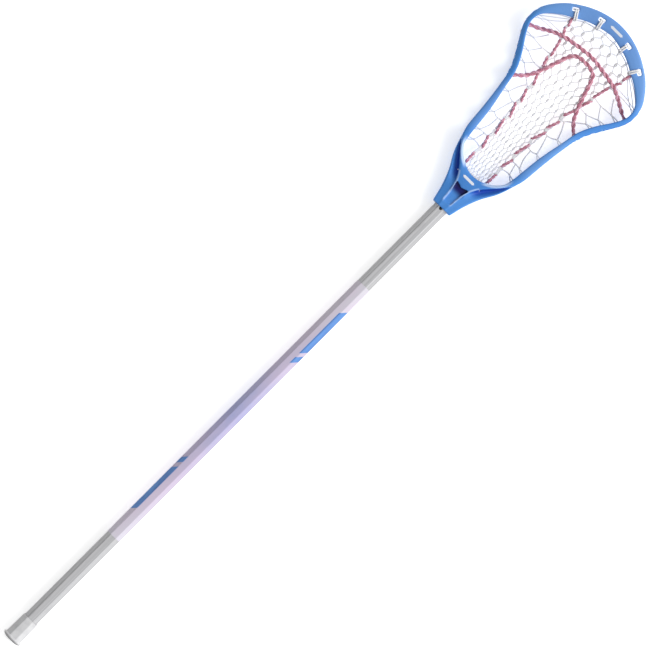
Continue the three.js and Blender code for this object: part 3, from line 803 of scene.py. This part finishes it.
def shade_head(mesh):
    """Marks where the head's material paints shade, in the throat's hollow and the groove beside the rim, and
    where it paints highlights, on the channel's lips, the rim's inner edge by the ball stop and the tops of
    the rails and scoop.
    """
    recess, painted_highlight, shade = [mesh.attributes.new(name, "FLOAT", "POINT") for name in ("recess", "painted_highlight", "groove")]
    for i, vertex in enumerate(mesh.vertices):
        x, y, z = abs(vertex.co.x / MM), vertex.co.y / MM - HEAD_Y, vertex.co.z / MM
        hollow_shade = edge = dark = 0.0
        if y < 50:
            # painted shade on the channel's floor under the ball-stop plate
            floor = (1 - smoothstep(z, 27.5, 31.2)) * (z > 20) * (x < 10.6)
            hollow_shade = floor * smoothstep(y, 22, 31)
            # painted highlight along the channel's raised lips
            ridge = profile(RIDGE_LINE, y)
            edge = 0.6 * (1 - smoothstep(abs(x - ridge + 0.3), 0.6, 1.8)) * (z > 26) * smoothstep(y, 6, 12)
        if 33 < y < 92 and z > 12:
            # painted shade in the groove between the rim and the flank
            outer = profile(RIDGE_LINE, y)
            half = profile(FLANK_WIDTH, y)
            f = (x - outer) / max(half - outer, 4)
            under = 1 - smoothstep(z, rim_top(y) - 4.4, rim_top(y) - 1.6)
            groove = smoothstep(f, 0.0, 0.12) * (1 - smoothstep(f, 0.3, 0.8)) * under
            dark = 0.8 * groove * smoothstep(y, 34, 46) * (1 - smoothstep(y, 74, 86))
        if 56 < y < 92 and x > 10:
            # painted highlight on the rim's inner edge by the ball stop
            k_side = smoothstep(x, 13, 21) * (1 - smoothstep(y, 78, 90))
            inner = min((Vector((x, y)) - Vector(p)).length for p in PALE_EDGE)
            near_top = smoothstep(z, rim_top(y) - 6.5, rim_top(y) - 3.5)
            edge = max(edge, 0.95 * k_side * (1 - smoothstep(inner, 2.2, 4.6)) * near_top)
        if y > 86 and z > rim_top(y) - 5:
            # painted highlight on the tops of the rails and scoop
            top_highlight = lerp(0.12, 0.2, smoothstep(y, 255, 300)) * smoothstep(y, 86, 112)
            edge = max(edge, top_highlight * (1 - smoothstep(y, 160, 190) * (1 - smoothstep(y, 250, 270))))
        recess.data[i].value = hollow_shade
        shade.data[i].value = dark
        painted_highlight.data[i].value = edge


# points of the rim's inner edge, along which the painted highlight strip runs
PALE_EDGE = [tuple(edges_at(i / 12)[0]) for i in range(12, 84)]


def head_mark(name, y, half_length, half_height):
    """A plain white lozenge printed on the head."""
    outline = [(-half_length, 0), (-half_length * 0.8, -half_height), (half_length * 0.8, -half_height),
               (half_length, 0), (half_length * 0.8, half_height), (-half_length * 0.8, half_height)]
    mesh = Mesh()
    rings = []
    for scale, lift in ((1, -0.5), (1, 0.12), (0.96, 0.2)):
        rings.append([(x * scale, y + dy * scale, rim_top(y + dy) + lift) for x, dy in outline])
    mesh.loft(rings)
    return piece(mesh.build(name, [MARK], False), "stick", "cord_white")


# Handle and its fittings, with outlines in radii or flats and distances

SHAFT_FLATS, SHAFT_WALL, FILM = 20.3, 1.2, 0.28
SHAFT_INSERTION = 47
SCREW_AT, SCREW_HOLE = 20, 2.2
SCREW = [(0.1, 0.45), (2, 0.45), (2.8, 0.6), (3.2, 0.9), (3.4, 1.3), (3.4, 1.8), (1.8, 1.8), (1.8, 8.3),
         (0.8, 9.5), (0.1, 9.5)]
CAP_FLATS = [(3, 24), (6, 24), (14, 23.6), (33.6, 22.9), (34.2, 22.4), (35.8, 22.4), (36.6, 22)]
CAP_FLANGE = [(0.2, 0), (6, 0.02), (9, 0.15), (11, 0.75), (12.6, 1.6), (13.6, 2.6), (13.97, 3.5), (13.9, 4.4),
              (13.4, 5), (12.6, 5.35), (11.6, 5.4), (0.2, 5.4)]
WRAP = (BUTT + 185.4, BUTT + 635)


def handle_tube():
    start, end, bevel = BUTT + 5.3, SHAFT_INSERTION, 0.4
    tube = octagon_bar([(start, SHAFT_FLATS - 0.5), (start + bevel, SHAFT_FLATS), (end - bevel, SHAFT_FLATS),
                        (end, SHAFT_FLATS - 0.5)], 1.1, "handle_tube", [ALUMINIUM])
    inside = SHAFT_FLATS - 2 * SHAFT_WALL
    carve(tube, [octagon_bar([(start - 5, inside), (end + 5, inside)], 0.6),
                 rod((0, -1.2, 15), (0, -1.2, 28), 2.2, 24),
                 rod((0, SCREW_AT, -2), (0, SCREW_AT, 12), SCREW_HOLE, 24)])
    return piece(flat_sided(tube), "stick", "handle_aluminium", "shaft_tube")


# Blue bars on the film: side, start and end along the handle, slant, and reach round its section
BARS_AT = [
    (1, -254, -182, 8, 6.1), (1, -271, -261, 8, 6.1), (-1, -545, -471, -7, 4.5), (-1, -463, -453, -7, 4.5),
]
BAR_FOOT = -3.9  # where every bar begins, down its slanted facet from the facet's middle
INK = 0.05
FILM_CORNER = 1.15


def print_sleeve():
    outer = SHAFT_FLATS + 2 * FILM
    sleeve = octagon_bar([(WRAP[0], outer - 0.3), (WRAP[0] + 0.3, outer), (WRAP[1] - 0.3, outer),
                          (WRAP[1], outer - 0.3)], FILM_CORNER, "handle_print_sleeve", [PRINT])
    inside = SHAFT_FLATS + 0.1
    carve(sleeve, [octagon_bar([(WRAP[0] - 5, inside), (WRAP[1] + 5, inside)], 1.0)])
    return piece(flat_sided(sleeve), "stick", "handle_print", "shaft_wrap")


def on_film(side, round_it, lift):
    """A point of the film's section, at a distance round it from a slanted facet's middle to the top."""
    outer = SHAFT_FLATS / 2 + FILM
    core = outer - FILM_CORNER
    flat = core * math.tan(math.pi / 8)
    past = (round_it - flat) / FILM_CORNER  # how far round the corner, as an angle
    if past < 0:
        across, up = outer + lift - round_it, outer + lift + round_it
        return Vector((side * across * math.sqrt(0.5), 0, AXIS_HEIGHT + up * math.sqrt(0.5)))
    if past < math.pi / 4:
        angle = math.pi / 4 - past
        return Vector((side * (flat + (FILM_CORNER + lift) * math.sin(angle)), 0,
                       AXIS_HEIGHT + core + (FILM_CORNER + lift) * math.cos(angle)))
    return Vector((side * (flat - (past - math.pi / 4) * FILM_CORNER), 0, AXIS_HEIGHT + outer + lift))


def print_bars():
    """Plain slanted bars, each a thin skin on one slanted facet of the film that may reach on to its top."""
    mesh = Mesh()
    steps = 24
    for side, start, end, slant, reach in BARS_AT:
        rings = []
        for i in range(steps + 1):
            round_it = lerp(BAR_FOOT, reach, i / steps)
            shift = slant * (0.5 - i / steps)
            low, high = start + shift, end + shift
            rings.append([on_film(side, round_it, lift) + Vector((0, y, 0))
                          for y, lift in ((low, -INK), (high, -INK), (high, INK), (low, INK))])
        mesh.loft(rings)
    return piece(mesh.build("handle_print_bars", [BARS], False), "stick", "handle_print")


def butt_cap():
    cap = octagon_bar([(BUTT + y, flats) for y, flats in CAP_FLATS], 1.6, "butt_cap_rubber", [RUBBER])
    flange = spun("cutter", CAP_FLANGE, 96, lambda x, z, y: (x, BUTT + y, AXIS_HEIGHT + z))
    carve(cap, [flange], "UNION")
    carve(cap, [octagon_bar([(BUTT + 5, 20.6), (BUTT + 40, 20.6)], 1.0)])
    return piece(flat_sided(cap), "butt_cap", "cap_rubber", "end_cap")


def collar_screw():
    """Pan-head screw with a cross recess, seen in the back of the collar."""
    arms = []
    screw = spun("collar_screw", SCREW, 48, lambda x, y, z: (x, SCREW_AT + y, z), [STEEL])
    for turn in (math.pi / 4, -math.pi / 4):
        arms.append(turned_box((0, SCREW_AT), turn, (3.6, 0.9), -1, 1.25))
    carve(screw, arms)
    return piece(crisp(screw, 35), "stick", "screw_steel", "head_screw")


# Stringing

NET_COLUMNS = 14
NET_STRAND = 0.64
STOP_CURVE, SCOOP_CURVE = 0.0165, 0.0062  # per millimetre across, squared
NET_STEPS = [(57, 12.4), (186, 12.4), (255, 12.2), (268, 11.8), (302, 11.2)]


def net_rows():
    """Distances along the head of the net's rows of joints, closest where its diamonds are open."""
    rows = [57.4]
    while rows[-1] < 293:
        rows.append(rows[-1] + profile(NET_STEPS, rows[-1]))
    stretch = (298.5 - rows[0]) / (rows[-1] - rows[0])
    return [rows[0] + (y - rows[0]) * stretch for y in rows]


def net_curve(x, y):
    """How far the net's rows are bent at x, to follow the ball stop at one end and the scoop at the other."""
    return STOP_CURVE * x * x * (1 - smoothstep(y, 57, 100)) - SCOOP_CURVE * x * x * smoothstep(y, 220, 298)


def net_point(column, y, shift=(0, 0)):
    """Where a joint is."""
    x = (column / NET_COLUMNS * 2 - 1) * (pocket_width(y) - 1)
    return x + shift[0], y + net_curve(x, y) + shift[1]


def pocket_net():
    """Each strand zigzags up the net, and runs beside its neighbour for a moment at every joint."""
    mesh = Mesh()
    rows = net_rows()
    shifts = {}
    for j in range(len(rows)):
        loose = 0.55 if rows[j] < 190 else 0.8  # how far a joint may stray from its place
        for i in range(NET_COLUMNS + 1):
            shifts[i, j] = (random.uniform(-loose, loose), random.uniform(-loose, loose))
    for start in range(0, NET_COLUMNS + 1, 2):
        for way in (-1, 1):
            column, direction = start, way
            if not 0 <= column + direction <= NET_COLUMNS:
                continue
            path = []
            for j, y in enumerate(rows):
                x, along = net_point(column, y, shifts[column, j])
                joint = lerp(1.7, 2.7, smoothstep(y, 235, 265))
                beside = -direction * 0.5
                for shift in (-joint, joint):
                    path.append(on_pocket(x + beside, along + shift, 0.35 * way))
                if j + 1 < len(rows):
                    if not 0 <= column + direction <= NET_COLUMNS:
                        direction = -direction
                    column += direction
                    direction = -direction
            mesh.tube(smooth_path(path, 3), NET_STRAND, 7)
    for j, y in enumerate(rows):
        for column in range(j % 2, NET_COLUMNS + 1, 2):
            x, along = net_point(column, y, shifts[column, j])
            mesh.blob(on_pocket(x, along), (1.05, 1.9, 1.0), slot=0, rings=4, sides=8)
    return mesh.build("pocket_net", [NET])


def net_edge(y, side, lift=0.0):
    x = pocket_width(y) - 0.8
    return on_pocket(side * x, y + net_curve(x, y), lift)


def knot(mesh, centre, size, axis=(0, 1, 0), slot=0):
    """A small overhand knot: a ball with a turn of cord round it."""
    centre, axis = Vector(centre), Vector(axis).normalized()
    mesh.blob(centre, (size * 0.85, size, size * 0.85), axis, slot, 5, 10)
    across = axis.orthogonal().normalized()
    over = axis.cross(across)
    loop = []
    for i in range(11):
        a, b = polar(1, i / 10)
        loop.append(centre + (across * a + over * b) * size * 0.8 + axis * size * 0.35 * b)
    mesh.tube(loop, size * 0.42, 6, slot)


# Each tie on a side wall: its knot, its way in to the net's edge, and its branch towards the next tie
TIES = [
    (87.6, (31.6, 91.5), [(26, 91.2), (20.6, 89.4)], [(30, 98), (28, 106)]),
    (102.9, (35.4, 106), [(29, 106.4), (22.4, 106.4)], [(30.8, 118), (29.4, 132)]),
    (130.8, (38.1, 134.6), [(32, 132.2), (25.6, 132.5)], [(35.2, 146), (31.2, 159)]),
    (163.8, (43.6, 165.7), [(35.5, 161.2), (27.8, 160.4)], [(39.6, 177), (34.2, 187)]),
    (204.5, (55.2, 205.5), [(43, 196.2), (30, 186)], [(50.4, 210.6), (46.2, 215)]),
    (217.2, (62.6, 220), [(48, 214.6), (37.4, 215)], [(57.2, 227.6), (52.8, 234)]),
    (232.4, (69.6, 236.2), [(54, 235), (38.8, 236.6)], [(64, 243.4), (58.4, 251.6)]),
]


def side_cord(side, name, node):
    mesh = Mesh()
    for y, (hub_x, hub_y), way_in, branch in TIES:
        z = rail_bottom(y) + TIE_HEIGHT
        first, second = wall_at(y - TIE_SPREAD, side), wall_at(y + TIE_SPREAD, side)
        middle = wall_at(y, side)
        hub = Vector((side * hub_x, hub_y, lerp(z, pocket_height(hub_x, hub_y), 0.4)))
        loop = [hub, first(-4.2, z).lerp(hub, 0.2), first(-1, z), first(2.6, z),
                second(2.6, z), second(-1, z), second(-4.2, z).lerp(hub, 0.2), hub]
        mesh.tube(smooth_path(loop, 5), TIE_STRAND, 8)
        knot(mesh, hub, 1.3, middle(-1, z) - middle(0, z))
        for route in (way_in, branch):
            legs = list(zip([(hub_x, hub_y), *route], route))
            reach = sum(math.dist(a, b) for a, b in legs)
            path, gone = [hub], 0.0
            for a, b in legs:
                gone += math.dist(a, b)
                sag = 0.9 * math.sin(math.pi * gone / reach)
                height = lerp(hub.z, pocket_height(*b), gone / reach)
                path.append(Vector((side * b[0], b[1], height - sag)))
            mesh.tube(smooth_path(path, 8), BRANCH_STRAND, 8)
        knot(mesh, path[-1], 1.0, (0, 1, 0.2))
        knot(mesh, on_pocket(side * way_in[-1][0], way_in[-1][1], 0.1), 1.2, (0, 1, 0.2))
    edge = [net_edge(y, side, 0.3) + Vector((0.4 * math.sin(y * 0.9), 0, 0.3 * math.cos(y * 0.9)))
            for y in range(62, 292, 4)]
    for strand in twisted(even_path(edge, 1.1), 0.72, 11):
        mesh.tube(strand, EDGE_STRAND, 6)
    return piece(mesh.build(name, [CORD]), "stick", "cord_white", node)


def throat_cord():
    z = 14
    half = [(0, 57.4, z), (5, 58.2, z), (8.2, 58.4, z), (9, 55.4, z), (9, 51, z)]
    path = even_path([(-x, y, h) for x, y, h in reversed(half[1:])] + half, 0.8)
    mesh = Mesh()
    for strand in twisted(path, 0.45, 7):
        mesh.tube(strand, 0.55, 8)
    for x in range(-12, 13, 3):
        end = Vector((x, 58 + STOP_CURVE * x * x, pocket_height(x, 58)))
        turn = [end + Vector((0, 1.6, 0)), end + Vector((0.3, -1.2, 1)), (x * 0.66, 57.6, z + 1.2),
                (x * 0.62, 56.6, z), end + Vector((-0.3, -0.6, -1)), end + Vector((-0.4, 1.2, -0.6))]
        mesh.tube(smooth_path(turn, 4), 0.5, 7)
    return piece(mesh.build("throat_cord", [CORD]), "stick", "cord_white", "throat_string")


def scoop_frame(centre, turn, side):
    """A function of distances along the scoop and inward from one of its holes, and a lift over its top."""
    inward = Vector((math.sin(turn), -math.cos(turn)))
    along = Vector((math.cos(turn), math.sin(turn)))

    def at(a, b, lift):
        p = Vector(centre) + along * a + inward * b
        return Vector((side * p.x, p.y, rim_top(p.y) + lift))

    return at


# A loop over the scoop: its spread, its share of the reach and what is added to that, and its lift
SCOOP_LOOP = [
    (1, 0, 1, -7.5), (1, 0, 0.2, -3.5), (1, 0, 0.6, -0.2), (1, 0, 2.4, 1.25), (1.05, 0.6, 0, 1.35),
    (1.1, 1, -0.4, 0.6), (1.1, 1, 1.5, -1.6), (1.1, 1, 1.7, -4.4), (1.1, 1, 0.6, -7.6),
]


def top_cord():
    """Doubled loops over the scoop, and the strands that fan out from them to the rim's shoulders."""
    mesh = Mesh()
    for side in (-1, 1):
        ends = []
        for (centre, turn), reach, lean in zip(SCOOP_HOLES, (11.6, 10.9), (-3.4, -2.2)):
            at = scoop_frame(centre, turn, side)
            for offset in (-1.28, 1.28):
                shift = lean * 0.5 + offset
                path = [at(shift * wide, reach * far + near, lift) for wide, far, near, lift in SCOOP_LOOP]
                mesh.tube(smooth_path(path, 5), 1.12, 10)
            bar = [at(-3.3, 0.2, -3.0), at(-1.5, 0.4, -1.6), at(0.5, 0.4, -1.6), at(3, 0.2, -2.6)]
            mesh.tube(smooth_path(bar, 5), 1.2, 8)
            under = at(lean * 0.6, reach + 1.5, -7.0)
            knot(mesh, under, 1.9, (side * 0.5, -1, 0))
            ends.append(under)
        outer, inner = ends
        corner = wall_at(TOP_CORD_HOLE[0], side)
        z = TOP_CORD_HOLE[1]
        for shift, bend in ((-3.5, -3.2), (0, 0.2), (3.2, 3.0), (5.5, 5.6)):
            start = corner(-1.5, z) + Vector((0, shift, 0.4 * shift))
            mid = start.lerp(outer, 0.5) + Vector((side * bend * 0.55, bend * 0.8, -1.6))
            end = outer + Vector((side * bend * 0.2, bend * 0.2, 0))
            mesh.tube(smooth_path([start, mid, end], 8), 0.55, 8)
        for shift in (0, 2.2):
            start = corner(-1.5, z) + Vector((0, shift, 0))
            net = net_edge(266 + 4 * shift, side)
            mesh.tube(smooth_path([start, start.lerp(net, 0.5) + Vector((0, 2, -2)), net], 8), 0.5, 7)
        middle = Vector((0, 300.5, rim_top(300.5) - 7.5))
        route = [outer, outer.lerp(inner, 0.5) + Vector((side * 1.5, 1.6, 0)), inner,
                 inner.lerp(middle, 0.5) + Vector((0, 1.4, 0)), middle + Vector((side * 0.3, 0, 0))]
        for lift in (0, -1.3):
            mesh.tube(smooth_path([p + Vector((0, 0, lift)) for p in route], 8), 0.7, 8)
    for column in range(0, NET_COLUMNS + 1, 2):
        x, y = net_point(column, 297.5)
        foot = on_pocket(x, y)
        edge_y = 303.6 - SCOOP_CURVE * min(abs(x), 52) ** 2
        hook = Vector((x * 1.02, edge_y - 0.8, rim_top(edge_y) - 6.4))
        turn = [foot + Vector((-0.6, -1, 0)), hook + Vector((-1, 0, -0.8)), hook + Vector((0, 0.8, 0.6)),
                hook + Vector((1, 0, -0.6)), foot + Vector((0.6, -1, 0))]
        mesh.tube(smooth_path(turn, 5), 0.55, 7)
    return piece(mesh.build("top_cord", [CORD]), "stick", "cord_white", "top_string")


LACE_STRAND, LACE_OFFSET, LACE_PITCH = 1.6, 1.4, 17
RUNNER_STRAND, RUNNER_OFFSET, RUNNER_PITCH = 1.22, 1.0, 12


def lace(mesh, points, fork):
    """Two strands twisted together, which part at both ends to the distance fork from the lace's middle."""
    step, parted = 0.8, 16
    path = even_path(points, step)
    for number, strand in enumerate(twisted(path, LACE_OFFSET, LACE_PITCH)):
        sign = 1 if number else -1
        for i, p in enumerate(strand):
            away = min(i, len(strand) - 1 - i) * step
            part = 1 - smoothstep(away, 1, parted)
            strand[i] = p.lerp(path[i] + Vector((0, sign * fork * part, 0)), part)
        # the second strand takes the shaded copy of the lace material, as painted shade
        mesh.tube(strand, LACE_STRAND, 10, number)


def shooting_lace(name, half, hole, node, fork, lifts):
    """A lace from wall to wall, given by its right half and how high each point lies over the pocket."""
    mesh = Mesh()
    right = [on_pocket(x, y, lift) for (x, y), lift in zip(half, lifts)]
    at = wall_at(hole[0], 1)
    right += [at(-5.5, hole[1] + 0.5), at(-2, hole[1]), at(0.4, hole[1])]
    left = [Vector((-p.x, p.y, p.z)) for p in reversed(right[1:])]
    wobble = [p + Vector((0, 0.5 * math.sin(3.1 * i), 0)) for i, p in enumerate(left + right)]
    lace(mesh, wobble, fork)
    for side in (-1, 1):
        at = wall_at(hole[0], side)
        knot(mesh, at(2.1, hole[1] - 0.5), 1.4, at(1, 0) - at(0, 0))
    return piece(mesh.build(name, [LACE, LACE_SHADED]), "stick", "lace_pink", node)


UPPER_LACE = [(0, 269.2), (13, 267.8), (25.4, 266.4), (45.7, 262.2), (61, 256), (73, 249)]
UPPER_LIFTS = [5.5, 5.5, 5.5, 4.5, 3, 2]
LOWER_LACE = [
    (0, 259.2), (6.4, 258.9), (12.7, 257.4), (18.3, 253.6), (22, 246.4), (25.2, 237), (28.8, 226.5),
    (32.2, 216.5), (36.2, 207), (42, 196),
]
LOWER_LIFTS = [4.2, 4.2, 4.2, 4.2, 4.2, 4.2, 4, 3.6, 3, 4]

# The edge lace's visible dashes, from the scoop down: each one's upper and lower end, across and along
RUNNER = [
    ((51.6, 285.6), (49, 276.5)), ((50, 272), (45.6, 264.6)), ((43.2, 257.5), (38, 235.8)),
    ((39.6, 231), (35.6, 219)), ((33.6, 208), (27.6, 194)), ((29.2, 183), (23.6, 167.8)),
    ((26.6, 161.3), (19.8, 143.6)), ((23, 136), (17.9, 115.6)), ((21.6, 106.7), (17.2, 91.5)),
    ((19.7, 78.8), (19.2, 63.6)),
]


def runner(side, name, node):
    """A pink lace woven down the net's edge, with white turns of the net's edge cord over its hidden runs."""
    mesh = Mesh()
    points = []
    for i, ((x0, y0), (x1, y1)) in enumerate(RUNNER):
        length = y0 - y1
        if i:
            px, py = RUNNER[i - 1][1]
            points += [on_pocket(side * lerp(px, x0, f), lerp(py, y0, f), -1.9) for f in (0.3, 0.7)]
        for f, lift in ((0, 0.4), (0.22, 2.3), (0.78, 2.3), (1, 0.4)):
            points.append(on_pocket(side * lerp(x0, x1, f), y0 - f * length, lift))
    path = even_path(points, 0.7)
    for number, strand in enumerate(twisted(path, RUNNER_OFFSET, RUNNER_PITCH)):
        # the second strand takes the shaded copy of the lace material, as painted shade
        mesh.tube(strand, RUNNER_STRAND, 8, number)
    for i in range(1, len(RUNNER)):
        (ax, ay), (bx, by) = RUNNER[i - 1][1], RUNNER[i][0]
        start, end = on_pocket(side * ax, ay, 0.8), on_pocket(side * bx, by, 0.8)
        across = (end - start).normalized().cross(Vector((0, 0, 1)))
        middle = start.lerp(end, 0.5) + Vector((0, 0, 0.7))
        for shift in (-1.3, 0, 1.3):
            mesh.tube(smooth_path([p + across * shift for p in (start, middle, end)], 4), 0.8, 7, slot=2)
    return piece(mesh.build(name, [LACE, LACE_SHADED, CORD]), "stick", "lace_pink", node)


# Assembly

head_shell()
head_mark("scoop_mark", 313, 10.5, 1.7)
head_mark("plate_mark", 48.8, 9.5, 1.7)
handle_tube()
print_sleeve()
print_bars()
butt_cap()
collar_screw()

net = piece(pocket_net(), "stick", "mesh_white", "pocket_mesh")
for side, word in ((-1, "left"), (1, "right")):
    side_cord(side, f"side_cord_{word}", f"side_string_{word}")
    runner(side, f"runner_{word}", f"runner_lace_{word}")
throat_cord()
top_cord()
shooting_lace("lace_upper", UPPER_LACE, UPPER_LACE_HOLE, "shooting_string_upper", 1.5, UPPER_LIFTS)
shooting_lace("lace_lower", LOWER_LACE, LOWER_LACE_HOLE, "shooting_string_lower", 2.1, LOWER_LIFTS)

# Studio: a pale floor, a broad soft sky that is brighter on the right, and one soft lamp

KEY_DIRECTION = Vector((0.6, 0.4, 0.7)).normalized()
SKY_DIRECTION = Vector((0.78, 0.42, 0.46)).normalized()

world = bpy.data.worlds.new("studio")
bpy.context.scene.world = world
world.use_nodes = True
sky = Nodes(world.node_tree)
direction = sky.node("TexCoord").outputs["Generated"]
facing = sky.node("VectorMath", {0: direction, 1: SKY_DIRECTION}, operation="DOT_PRODUCT").outputs["Value"]
glow = sky.node("MapRange", {"Value": facing, "From Min": -0.35, "From Max": 1.0, "To Min": 0.18,
                             "To Max": 1.14}, interpolation_type="SMOOTHSTEP").outputs["Result"]
background = world.node_tree.nodes["Background"]
background.inputs["Color"].default_value = (1, 1, 1, 1)
world.node_tree.links.new(glow, background.inputs["Strength"])

lamp = bpy.data.objects.new("key", bpy.data.lights.new("key", "SUN"))
lamp.data.energy = 1.4
lamp.data.angle = math.radians(35)
lamp.rotation_mode = "QUATERNION"
lamp.rotation_quaternion = KEY_DIRECTION.to_track_quat("Z", "Y")
bpy.context.scene.collection.objects.link(lamp)

look = Look("studio_floor")
floor_color = look.mix(look.range(look.noise(3, 2), 0.3, 0.7), (0.9, 0.9, 0.9, 1), (0.92, 0.92, 0.92, 1))
floor_look = look.finish(floor_color, look.range(look.noise(40, 2), 0.3, 0.7, 0.8, 0.95),
                         Emission_Color=(1, 1, 1, 1), Emission_Strength=0.5)
floor = bpy.data.meshes.new("floor")
floor.from_pydata([(-9, -9, 0), (9, -9, 0), (9, 9, 0), (-9, 9, 0)], [], [(0, 1, 2, 3)])
floor.materials.append(floor_look)
ground = bpy.data.objects.new("floor", floor)
ground.location.z = -0.0002
bpy.context.scene.collection.objects.link(ground)
